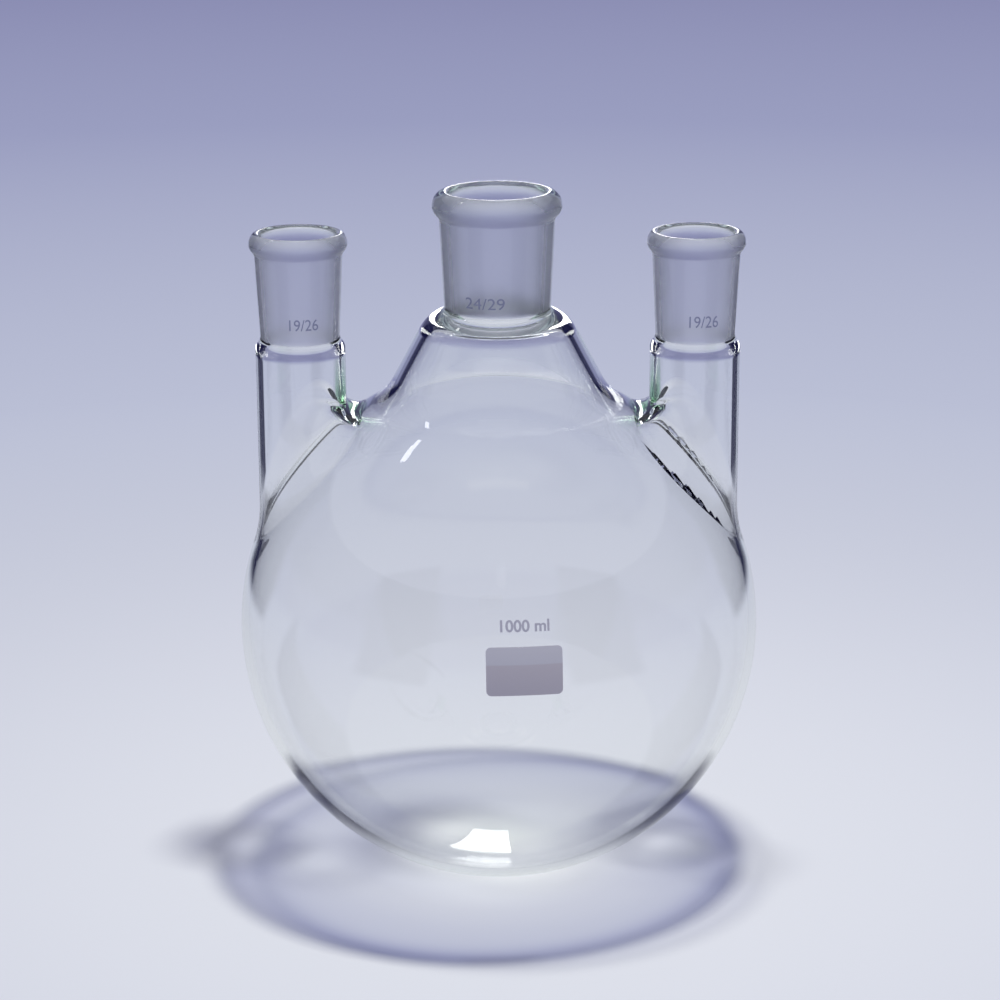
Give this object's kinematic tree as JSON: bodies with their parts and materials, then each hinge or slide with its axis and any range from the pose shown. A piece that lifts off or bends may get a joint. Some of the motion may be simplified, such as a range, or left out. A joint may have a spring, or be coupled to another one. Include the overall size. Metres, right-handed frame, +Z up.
{
  "type": "three neck flask",
  "caption": "Round bottom glass flask with a shouldered centre neck and parallel side necks, each with a ground tapered socket and a beaded rim.",
  "frame": {"origin": "lowest point of the bulb, on the axis of the centre neck", "axes": "+Z up the centre neck, +X towards the right side neck, -Y towards the viewer, the side with the marking patch"},
  "size_m": [0.131, 0.131, 0.176],
  "materials": {
    "glass": "clear blown borosilicate glass, ground to a matt surface inside the sockets",
    "enamel": "matt fired enamel"
  },
  "bodies": {
    "root": {"flask": "glass", "marking_patch": "enamel"}
  },
  "joints": []
}
